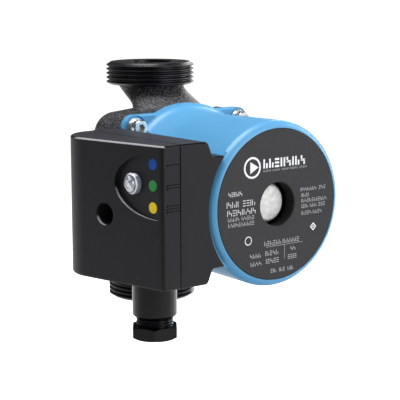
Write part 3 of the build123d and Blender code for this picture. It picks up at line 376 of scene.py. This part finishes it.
# %% Glossy gland plastic
def gland_plastic():
    finish = Finish("gland_plastic")
    waves = clouds(finish, 5.0, 2.0, 0.5, (1, 1, 0.35))
    fine = clouds(finish, 0.5, 2.0, 0.6)
    finish.set(base_color=finish.between(waves, (0.0012, 0.0012, 0.0015), (0.0026, 0.0026, 0.0030)),
               roughness=0.14 + fine * 0.08 + waves * 0.05,
               normal=raised(finish, waves * 0.7 + fine * 0.3, 0.03, 0.35))
    finish.set(specular_ior_level=0.14)
    return finish


dress(gland_plastic(), "gland_nut", "gland_slip_ring")

# %% [markdown]
# ## The name plate
# The plate is a dark film with a fine sparkle in it, like satin paint over rolled metal. Its grain is about
# three quarters of a millimetre across, and lighter grains are as common as darker ones. The film stops at
# the hole, whose wall is painted near black as painted shade.

# %% Charcoal name plate
PLATE_FACE_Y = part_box("name_plate")[0].y


def plate_film():
    finish = Finish("plate_film")
    grain = clouds(finish, 0.75, 2.0, 0.7).step(0.3, 0.7)
    sparkle = cells(finish, 0.8, "Color")
    drift = clouds(finish, 18.0, 2.0, 0.5)
    tone = grain * 0.8 + drift * 0.2
    colour = finish.between(tone, (0.0070, 0.0070, 0.0088), (0.0160, 0.0160, 0.0190))
    glint = finish.node("ShaderNodeSeparateColor", (), {0: sparkle}, 0).step(0.85, 1.0)
    # The hole's wall is painted near black: painted shade inside the hole.
    hole_wall_shade = along(finish, "Y").step(PLATE_FACE_Y + 0.0003, PLATE_FACE_Y + 0.0009)
    film = finish.over(glint * 0.07, colour, (0.20, 0.20, 0.21))
    finish.set(base_color=finish.over(hole_wall_shade * 0.92, film, (0.001, 0.001, 0.001)),
               roughness=0.46 + grain * 0.12 + hole_wall_shade * 0.3, metallic=glint * 0.3,
               normal=raised(finish, grain, 0.012, 0.2))
    finish.set(specular_ior_level=0.3)
    return finish


dress(plate_film(), "name_plate")

# %% [markdown]
# ## Bare metal
# The end of the rotor can shows through the plate's hole as a bright disc. It is pressed stainless steel,
# rubbed until it is matt, with faint turning rings round the motor's axis and cloudy stains.

# %% Stainless steel
def matt_stainless():
    finish = Finish("matt_stainless")
    away = from_line(finish, (0, 0, MOTOR_HEIGHT), (0, 1, 0))
    wobble = clouds(finish, 1.2, 2.0) * 3.0
    rings = (away * (2 * math.pi / (0.5 * MM)) + wobble).wave()
    stains = clouds(finish, 2.6, 4.0, 0.65).step(0.3, 0.75)
    finish.set(base_color=finish.between(stains, (0.50, 0.50, 0.50), (0.80, 0.80, 0.79)),
               roughness=0.40 + stains * 0.16, metallic=0.25 + stains * 0.15,
               normal=raised(finish, rings * 0.4 + stains * 0.6, 0.02, 0.25))
    return finish


stainless = matt_stainless()
dress(stainless, "rotor_can", "wear_ring", "bearing_plate", "rotor_sleeve")

# %% [markdown]
# The screws and washers are steel with a bright zinc plate. Zinc has a bluish sheen with patches of straw
# yellow, and a screw's head keeps the rings of the lathe round its own axis. The four screws sit in the
# corners of a square, so one sum in the sizes of x and z finds the nearest screw's axis.

# %% Zinc-plated screws
SCREW_CORNER = 0.034


def bright_zinc():
    finish = Finish("bright_zinc")
    side = abs(along(finish, "X")) - SCREW_CORNER
    rise = abs(along(finish, "Z") - MOTOR_HEIGHT) - SCREW_CORNER
    away = finish.node("ShaderNodeMath", {"operation": "SQRT"}, {0: side * side + rise * rise})
    rings = ripples(away, 0.3)
    patches = clouds(finish, 3.0, 3.0, 0.6).step(0.35, 0.7)
    finish.set(base_color=finish.between(patches, (0.60, 0.65, 0.72), (0.80, 0.78, 0.70)),
               roughness=0.17 + patches * 0.14,
               normal=raised(finish, rings * 0.5 + patches * 0.5, 0.015, 0.2))
    finish.set(metallic=1.0)
    return finish


dress(bright_zinc(), "flange_screws", "flange_washers", "cover_screw", "base_screws", "board_screws")

# %% [markdown]
# ## The clear button and its lamp
# The mode button is a clear dome over a small lamp. It is moulded in acrylic and facetted behind. Pale
# patches of painted reflection are laid into its colour. Inside its rim run a dark ring of painted shade in
# the groove, a bright painted highlight line, and painted shade on the side beyond.

# %% Clear acrylic and the lamp
GROOVE_RADIUS = 0.0040
LINE_RADIUS = 0.0045
SIDE_RADIUS = 0.0050


def clear_acrylic(middle, direction):
    finish = Finish("clear_acrylic")
    away = from_line(finish, middle, direction)
    swirl = clouds(finish, 2.5, 2.0, 0.5)
    shades = cells(finish, 2.1, "Color")
    # Pale patches of painted reflection, placed by chance cells.
    reflection_patches = finish.node("ShaderNodeSeparateColor", (), {0: shades}, 0).step(0.3, 0.7)
    # A dark ring of painted shade in the groove.
    painted_groove_shade = away.step(GROOVE_RADIUS - 0.0003, GROOVE_RADIUS) - away.step(LINE_RADIUS - 0.0002, LINE_RADIUS)
    # A bright painted highlight line inside the rim.
    line = (away.step(LINE_RADIUS - 0.0001, LINE_RADIUS + 0.0001)
            - away.step(SIDE_RADIUS - 0.0001, SIDE_RADIUS + 0.0001))
    # Painted shade on the dome's side, beyond the line.
    side = away.step(SIDE_RADIUS - 0.0001, SIDE_RADIUS + 0.0002)
    painted_reflection = finish.between(reflection_patches * 0.8 + swirl * 0.2, (0.13, 0.15, 0.20), (0.92, 0.94, 1.0))
    ringed = finish.over(painted_groove_shade * 0.8, painted_reflection, (0.03, 0.035, 0.05))
    lined = finish.over(line * 0.8, ringed, (0.80, 0.84, 0.92))
    finish.set(base_color=finish.over(side * 0.9, lined, (0.10, 0.115, 0.15)),
               roughness=0.05 + swirl * 0.06, normal=raised(finish, swirl, 0.03))
    finish.set(transmission_weight=0.3, ior=1.49)
    return finish


def lamp_lens(middle, direction):
    finish = Finish("lamp_lens")
    away = from_line(finish, middle, direction)
    cup = away.step(0.0006, 0.0012)
    mottle = clouds(finish, 0.7, 2.0, 0.6)
    colour = finish.between(mottle, (0.62, 0.66, 0.74), (0.90, 0.92, 0.96))
    finish.set(base_color=finish.over(0.8 - cup * 0.8, colour, (0.08, 0.08, 0.09)),
               roughness=0.1 + mottle * 0.12, metallic=0.3 + cup * 0.4,
               normal=raised(finish, mottle, 0.05))
    finish.set(coat_roughness=0.05)
    return finish


lamp_low, lamp_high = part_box("mode_led")
lamp_middle = (lamp_low + lamp_high) / 2
button_low, button_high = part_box("mode_button")
dress(clear_acrylic((button_low + button_high) / 2, FACE_OUT), "mode_button")
dress(lamp_lens(lamp_middle, FACE_OUT), "mode_led")
print("lamp at", [round(v / MM, 1) for v in lamp_middle])

# %% [markdown]
# ## The printed dots
# Each speed has a dot of its own colour. They are pad-printed, so the ink is a little uneven and has a soft
# shine.

# %% Dots of ink
DOT_INKS = {
    "mode_dot_blue": (0.003, 0.056, 0.290),
    "mode_dot_green": (0.026, 0.210, 0.055),
    "mode_dot_yellow": (0.680, 0.500, 0.022),
}


def dot_ink(name, colour):
    finish = Finish(name + "_ink")
    patch = clouds(finish, 1.4, 3.0, 0.6)
    darker = tuple(0.78 * c for c in colour)
    finish.set(base_color=finish.between(patch, darker, colour), roughness=0.42 + patch * 0.15,
               normal=raised(finish, patch, 0.02))
    finish.set(specular_ior_level=0.15)
    return finish


for dot, colour in DOT_INKS.items():
    dress(dot_ink(dot, colour), dot)

# %% [markdown]
# ## What is inside
# The sealed pieces are finished too, because the pump can be taken apart. Most are plain engineering
# materials: rubber, carbon, ceramic, stacked sheet, enamelled wire and circuit board. Each has the one trait
# that tells it from the others, such as the sheet lines of a stator or the turns of a winding.

# %% Rubber and carbon
def soft_rubber():
    finish = Finish("soft_rubber")
    bloom = clouds(finish, 6.0, 3.0, 0.6)
    skin = clouds(finish, 0.4, 2.0, 0.6)
    finish.set(base_color=finish.between(bloom, (0.010, 0.010, 0.010), (0.028, 0.028, 0.029)),
               roughness=0.62 + skin * 0.2, normal=raised(finish, skin, 0.03, 0.2))
    return finish


def ground_carbon():
    finish = Finish("ground_carbon")
    flecks = cells(finish, 0.5).step(0.2, 0.05)
    cloud = clouds(finish, 3.0, 3.0, 0.6)
    tone = finish.between(cloud, (0.035, 0.035, 0.037), (0.07, 0.07, 0.073))
    finish.set(base_color=finish.over(flecks * 0.5, tone, (0.18, 0.18, 0.19)),
               roughness=0.28 + cloud * 0.15, normal=raised(finish, cloud, 0.01, 0.15))
    return finish


dress(soft_rubber(), "housing_gasket", "thrust_cushion", "saddle_gasket", "cover_seal", "gland_seal")
dress(ground_carbon(), "front_bearing", "rear_bearing", "thrust_washer")


# %% Ceramic, sheet steel and cast aluminium
def ground_ceramic():
    finish = Finish("ground_ceramic")
    cloud = clouds(finish, 2.0, 3.0, 0.6)
    rings = ripples(along(finish, "Y"), 0.4)
    finish.set(base_color=finish.between(cloud, (0.72, 0.70, 0.65), (0.85, 0.83, 0.78)),
               roughness=0.2 + cloud * 0.12, normal=raised(finish, rings * 0.6 + cloud * 0.4, 0.008))
    return finish


def stacked_sheet():
    finish = Finish("stacked_sheet")
    sheet = ripples(along(finish, "Y"), 0.5)
    rust = clouds(finish, 4.0, 4.0, 0.65).step(0.55, 0.8)
    steel = finish.between(sheet, (0.20, 0.20, 0.21), (0.46, 0.46, 0.47))
    finish.set(base_color=finish.over(rust * 0.4, steel, (0.22, 0.13, 0.08)),
               roughness=0.32 + rust * 0.3, metallic=0.95 - rust * 0.5,
               normal=raised(finish, sheet, 0.05))
    return finish


def cast_aluminium():
    finish = Finish("cast_aluminium")
    skin = clouds(finish, 0.9, 3.0, 0.6)
    cloud = clouds(finish, 7.0, 2.0, 0.5)
    finish.set(base_color=finish.between(cloud, (0.60, 0.60, 0.62), (0.78, 0.78, 0.80)),
               roughness=0.36 + skin * 0.2, normal=raised(finish, skin, 0.06, 0.2))
    finish.set(metallic=0.95)
    return finish


dress(ground_ceramic(), "shaft")
dress(stacked_sheet(), "rotor_core", "stator_core")
dress(cast_aluminium(), "rotor_end_rings", "capacitors")


# %% Windings, insulators and the impeller
def enamelled_wire():
    finish = Finish("enamelled_wire")
    away = from_line(finish, (0, 0, MOTOR_HEIGHT), (0, 1, 0))
    turns = ripples(away, 0.6)
    cloud = clouds(finish, 5.0, 2.0, 0.5)
    copper = finish.between(cloud, (0.42, 0.13, 0.045), (0.60, 0.21, 0.075))
    # Painted shade darkens the copper between the turns.
    finish.set(base_color=finish.over((1 - turns) * 0.5, copper, (0.16, 0.045, 0.02)),
               roughness=0.24 + cloud * 0.1, metallic=0.55 + turns * 0.3,
               normal=raised(finish, turns, 0.12))
    finish.set(coat_weight=0.5, coat_roughness=0.12)
    return finish


def moulded(name, low, high, shine):
    """A plain moulding: its colour drifts a little and its skin has a fine grain."""
    finish = Finish(name)
    drift = clouds(finish, 14.0, 2.0, 0.5)
    skin = clouds(finish, 0.6, 2.0, 0.6)
    finish.set(base_color=finish.between(drift, low, high), roughness=shine + skin * 0.12,
               normal=raised(finish, skin, 0.02, 0.2))
    return finish


white_insulator = moulded("white_insulator", (0.62, 0.60, 0.55), (0.74, 0.72, 0.67), 0.4)
impeller_moulding = moulded("impeller_moulding", (0.50, 0.47, 0.38), (0.62, 0.59, 0.49), 0.38)
grey_terminals = moulded("grey_terminals", (0.13, 0.14, 0.14), (0.20, 0.21, 0.21), 0.42)
dress(enamelled_wire(), "stator_coils")
dress(white_insulator, "stator_end_caps", "motor_connector")
dress(impeller_moulding, "impeller", "impeller_shroud")
dress(grey_terminals, "terminal_block", "switch_plunger")


# %% Circuit board and dark components
def circuit_board():
    finish = Finish("circuit_board")
    tracks = cells(finish, 3.2, "Distance", "DISTANCE_TO_EDGE").step(0.12, 0.07)
    pads = cells(finish, 2.6).step(0.2, 0.15)
    mask = finish.between(tracks, (0.006, 0.075, 0.030), (0.012, 0.140, 0.052))
    finish.set(base_color=finish.over(pads * 0.8, mask, (0.62, 0.60, 0.56)),
               roughness=0.26 + tracks * 0.06, metallic=pads * 0.7,
               normal=raised(finish, tracks * 0.5 + pads * 0.5, 0.04))
    return finish


def dark_component():
    finish = Finish("dark_component")
    skin = clouds(finish, 0.7, 3.0, 0.65)
    bands = ripples(along(finish, "Z"), 1.2)
    finish.set(base_color=finish.between(skin, (0.020, 0.020, 0.022), (0.055, 0.055, 0.058)),
               roughness=0.45 + skin * 0.2, normal=raised(finish, skin * 0.6 + bands * 0.4, 0.05, 0.2))
    return finish


dress(circuit_board(), "control_board", "display_board")
dress(dark_component(), "inductor", "power_module", "mode_switch")
undressed = [name for name, solid in solids.items()
             if solid.material_slots[0].material.name.startswith("body")]
print("solids without a finish:", undressed)

# %% [markdown]
# ## Print on the name plate
# The plate carries silver print: a mark, a title and rows of small text. No words are made here. A generic
# pump symbol, a triangle in a ring, stands for the mark, and each word is a row of small plain signs. The
# print is a film a few hundredths of a millimetre thick, built as a mesh on the plate's face, because a mesh
# keeps its edges crisp at any distance.

# %% Where the plate's face is
PRINT_DEPTH = 0.00004
plate_low, plate_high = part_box("name_plate")
plate_radius = (plate_high.x - plate_low.x) / 2
print("plate face at y", round(PLATE_FACE_Y / MM, 2), "mm, radius", round(plate_radius / MM, 2), "mm")


# %% Helpers that work on the plate's face
def deselect_all():
    if bpy.context.mode != "OBJECT":
        bpy.ops.object.mode_set(mode="OBJECT")
    bpy.ops.object.select_all(action="DESELECT")


def on_plate(x_mm, z_mm):
    """A point of the plate's face, from its middle."""
    return (x_mm * MM, PLATE_FACE_Y, MOTOR_HEIGHT + z_mm * MM)


def start_print(name):
    """An empty mesh in edit mode, ready for shapes to be added to it."""
    deselect_all()
    bpy.ops.mesh.primitive_plane_add(size=MM, location=on_plate(0, 0))
    film = bpy.context.object
    film.name = name
    bpy.ops.object.transform_apply(location=True, rotation=True, scale=True)
    bpy.ops.object.mode_set(mode="EDIT")
    bpy.ops.mesh.select_all(action="SELECT")
    bpy.ops.mesh.delete(type="VERT")
    return film


def add_block(x_mm, z_mm, width_mm, height_mm):
    """One flat block of ink, standing on the plate, with its middle at x and z."""
    place = on_plate(x_mm, z_mm)
    bpy.ops.mesh.primitive_plane_add(size=MM, location=place, rotation=(math.pi / 2, 0, 0))
    bpy.ops.transform.resize(value=(width_mm, 1, height_mm), center_override=place)


def finish_print(film, ink, corner_mm):
    """Gives the flat ink its thickness and slightly rounded corners."""
    bpy.ops.mesh.select_all(action="SELECT")
    bpy.ops.mesh.extrude_region_move(TRANSFORM_OT_translate={"value": (0, -PRINT_DEPTH, 0)})
    bpy.ops.mesh.select_all(action="SELECT")
    bpy.ops.mesh.normals_make_consistent(inside=False)
    bpy.ops.object.mode_set(mode="OBJECT")
    rounding = film.modifiers.new("rounded corners", "BEVEL")
    rounding.width = corner_mm * MM
    rounding.segments = 2
    rounding.affect = "EDGES"
    rounding.limit_method = "ANGLE"
    rounding.use_clamp_overlap = True
    bpy.ops.object.modifier_apply(modifier=rounding.name)
    film.data.materials.append(ink.material)
    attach(film, "pump")
    print(film.name, len(film.data.polygons), "faces")


# %% Silver inks
def silver_ink(name, low, high):
    finish = Finish(name)
    flakes = clouds(finish, 0.5, 3.0, 0.7)
    finish.set(base_color=finish.between(flakes, low, high), roughness=0.38 + flakes * 0.15,
               metallic=0.35 + flakes * 0.2, normal=raised(finish, flakes, 0.01))
    return finish


bright_ink = silver_ink("bright_ink", (0.50, 0.51, 0.53), (0.80, 0.81, 0.83))
medium_ink = silver_ink("medium_ink", (0.34, 0.345, 0.36), (0.58, 0.59, 0.61))
small_ink = silver_ink("small_ink", (0.20, 0.205, 0.215), (0.38, 0.39, 0.405))

# %% [markdown]
# A word is a row of small signs that are no letters: a post, a post with a short one beside it, a stack of
# three bars, or two half posts joined in a step. A seeded run of chance numbers picks them, so the rows have
# the rhythm of text, say nothing, and come out the same each time.

# %% Signs and rows of words
SIGN_KINDS = ("post", "pair", "pair", "stack", "step")
SIGN_WIDTH = 0.62
SIGN_GAP = 0.2
chance = random.Random(7)


def add_sign(kind, left, z_mm, width, height, stroke):
    """One sign, whose left edge and middle height are given, in millimetres."""
    right = left + width - stroke / 2
    if kind in ("post", "pair"):
        add_block(left + stroke / 2, z_mm, stroke, height)
    if kind == "pair":
        add_block(right, z_mm - height * 0.22, stroke, height * 0.56)
    if kind == "stack":
        for level in (-1, 0, 1):
            add_block(left + width / 2, z_mm + level * (height - stroke) / 2, width, stroke)
    if kind == "step":
        add_block(left + stroke / 2, z_mm + height * 0.25, stroke, height * 0.5)
        add_block(right, z_mm - height * 0.25, stroke, height * 0.5)
        add_block(left + width / 2, z_mm, width, stroke)


def add_words(x_start, x_end, z_mm, height, words, weight=0.17):
    """Signs of that height between two places, in that many words. Weight is the stroke over the height."""
    width, gap = height * SIGN_WIDTH, height * SIGN_GAP
    signs = 0
    for word in range(words):
        x = x_start + (x_end - x_start) * word / words
        word_end = x_start + (x_end - x_start) * (word + 1) / words - (gap if words > 1 else 0)
        while x + width <= word_end + 0.01:
            kind = chance.choice(SIGN_KINDS)
            add_sign(kind, x, z_mm, width, height, height * weight)
            x += (height * weight if kind == "post" else width) + gap
            signs += 1
    return signs


# %% [markdown]
# The title is the boldest row. It goes into one bright film, with the mark beside it and the two small signs
# lower down.

# %% The bright print
bright_print = start_print("plate_bright_print")
signs = add_words(-9.4, 20.6, 20.9, 4.5, 1, 0.23)
print(signs, "signs in the title")


# %% [markdown]
# The ring of the pump symbol is a disc whose middle is inset and taken away, and the triangle is a circle of
# three corners. Both are added to the same film before it gets its thickness.

# %% The pump symbol and the small signs
def add_ring(x_mm, z_mm, radius_mm, stroke_mm, corners=40):
    bpy.ops.mesh.primitive_circle_add(vertices=corners, radius=radius_mm * MM, fill_type="NGON",
                                      location=on_plate(x_mm, z_mm), rotation=(math.pi / 2, 0, 0))
    bpy.ops.mesh.inset(thickness=stroke_mm * MM)
    bpy.ops.mesh.delete(type="FACE")


def add_triangle(x_mm, z_mm, radius_mm):
    bpy.ops.mesh.primitive_circle_add(vertices=3, radius=radius_mm * MM, fill_type="NGON",
                                      location=on_plate(x_mm, z_mm), rotation=(math.pi / 2, 0, 0))
    bpy.ops.transform.rotate(value=-math.pi / 2, orient_axis="Y", center_override=on_plate(x_mm, z_mm))


add_ring(-16.3, 19.6, 5.3, 1.0)
add_triangle(-15.9, 19.6, 3.4)
add_ring(23.6, -13.8, 2.1, 0.55, 4)
add_block(23.6, -13.8, 0.9, 0.9)
add_ring(-18.7, -16.2, 2.2, 0.42)
finish_print(bright_print, bright_ink, 0.06)

# %% [markdown]
# The rest of the print is weaker and smaller. Each row below is written as its left end, its right end, its
# height above the motor's axis, the height of its signs and its number of words, all lengths in millimetres.

# %% The medium and small print
medium_print = start_print("plate_medium_print")
signs = add_words(-32.2, -12.2, 2.7, 2.9, 2, 0.15) + add_words(-31.9, -12.0, -1.4, 2.9, 1, 0.15)
signs += add_words(-31.1, -22.0, 7.7, 2.2, 1)
print(signs, "signs in the medium print")
finish_print(medium_print, medium_ink, 0.04)

small_print = start_print("plate_small_print")
small_rows = [(-9.3, 19.6, 17.4, 1.1, 5), (-31.4, -14.4, -4.6, 2.0, 2),
              (-31.2, -14.6, -7.4, 2.0, 2), (15.0, 33.4, 5.9, 1.9, 3), (15.5, 21.5, 2.9, 1.9, 1),
              (15.6, 33.0, 0.1, 1.9, 2), (15.7, 32.6, -2.7, 1.9, 3), (15.7, 31.0, -6.2, 1.9, 2),
              (-8.6, 15.4, -18.9, 2.3, 2), (-17.6, -10.2, -24.3, 2.2, 1), (-7.8, 0.6, -23.9, 2.4, 1),
              (8.6, 12.4, -23.3, 2.2, 1), (-17.2, -10.2, -28.3, 2.2, 1), (-7.4, 1.2, -27.9, 2.4, 1),
              (6.8, 12.6, -27.3, 2.2, 1), (-4.4, 12.4, -33.1, 2.0, 3)]
signs = sum(add_words(*row) for row in small_rows)
add_block(4.6, -20.7, 24.0, 0.22)
add_block(4.6, -24.3, 0.22, 7.0)
print(signs, "signs in the small print")
finish_print(small_print, small_ink, 0.03)

# %% [markdown]
# ## Floor and lights
# The pump hangs in its pipes, so the floor lies well below it. It is nearly white and as large as the eye can
# see, but in a spot under the pump its colour is painted darker, a painted shadow. It is lit from below like
# a light table, most of all behind the pump, except for that spot, so that little light comes up on the
# pump's dark front and underside.

# %% The floor
FLOOR_BELOW = 0.16
FLOOR_RADIUS = 60
SPOT_INNER, SPOT_OUTER = 0.24, 0.37
floor_height = cad_box[0][2] - FLOOR_BELOW
deselect_all()
bpy.ops.mesh.primitive_circle_add(vertices=96, radius=FLOOR_RADIUS, fill_type="NGON",
                                  location=(0, 0, floor_height))
floor = bpy.context.object
floor.name = "floor"
floor_finish = Finish("floor_white")
floor_tone = clouds(floor_finish, 900.0, 2.0, 0.5)
spot = from_line(floor_finish, (0, 0, 0), (0, 0, 1)).step(SPOT_INNER, SPOT_OUTER)
away_x, away_y = math.sin(-CAMERA_TURN), math.cos(-CAMERA_TURN)
behind = (along(floor_finish, "X") * away_x + along(floor_finish, "Y") * away_y).step(-0.3, SPOT_OUTER)
# Painted shadow: the floor's colour is darker in the spot under the pump.
pale = spot * 0.9 + floor_tone * 0.1
glow = spot * (behind * 0.55 + 0.45)
floor_finish.set(base_color=floor_finish.between(pale, (0.40, 0.40, 0.40), (0.66, 0.66, 0.66)),
                 emission_color=floor_finish.between(glow, (0.03, 0.03, 0.03), (1, 1, 1)))
floor_finish.set(roughness=0.9, emission_strength=1.0)
floor.data.materials.append(floor_finish.material)
floor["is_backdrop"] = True
print("floor at", round(floor_height / MM, 1), "mm")

# %% [markdown]
# The key light is a large soft box overhead, a little to the left, which brightens the tops and leaves the
# control box's left face dark. A second box on the right draws the bright line round the motor's right edge,
# a weak one behind makes the rough casting glint, and one far in front lifts the plate and the blue paint.
# The room gives only a dim even light, but its walls are seen as white.

# %% Soft boxes and the room
def soft_box(name, place, target, size, watts):
    """A flat lamp of that width and height in metres, turned to its target."""
    turn = (Vector(target) - Vector(place)).to_track_quat("-Z", "Y").to_euler()
    bpy.ops.object.light_add(type="AREA", location=place, rotation=turn)
    lamp = bpy.context.object
    lamp.name = name
    lamp.data.shape = "RECTANGLE"
    lamp.data.size, lamp.data.size_y = size
    lamp.data.energy = watts
    print(name, watts, "W")
    return lamp


soft_box("overhead_box", (-0.20, -0.02, 1.05), PUMP_MIDDLE, (0.75, 0.75), 21)
soft_box("right_box", (1.0, -0.30, 0.40), PUMP_MIDDLE, (0.35, 0.8), 7)
soft_box("back_box", (0.75, 0.45, 0.35), PUMP_MIDDLE, (0.3, 0.5), 2.2)
soft_box("front_box", (0.30, -1.3, 0.55), PUMP_MIDDLE, (0.8, 0.8), 13.5)

ROOM_LIGHT = 0.1
ROOM_SEEN = 0.9
room = bpy.data.worlds.new("room")
bpy.context.scene.world = room
room.use_nodes = True
room_light = room.node_tree.nodes["Background"]
room_light.inputs["Color"].default_value = (1, 1, 1, 1)
ray = room.node_tree.nodes.new("ShaderNodeLightPath")
strength = room.node_tree.nodes.new("ShaderNodeMapRange")
strength.inputs["To Min"].default_value = ROOM_LIGHT
strength.inputs["To Max"].default_value = ROOM_SEEN
room.node_tree.links.new(ray.outputs["Is Camera Ray"], strength.inputs["Value"])
room.node_tree.links.new(strength.outputs["Result"], room_light.inputs["Strength"])
bpy.context.scene.view_settings.view_transform = "Standard"

# %% [markdown]
# ## How far the pump has grown
# Both boxes, the solid model's and the finished pump's, are printed side by side as how far each side has
# grown.

# %% Sizes before and after
pump_box = [list(corner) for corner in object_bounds()]
both_boxes = zip(cad_box[0] + cad_box[1], pump_box[0] + pump_box[1])
print("grown by", [round((after - before) / MM, 3) for before, after in both_boxes], "mm")
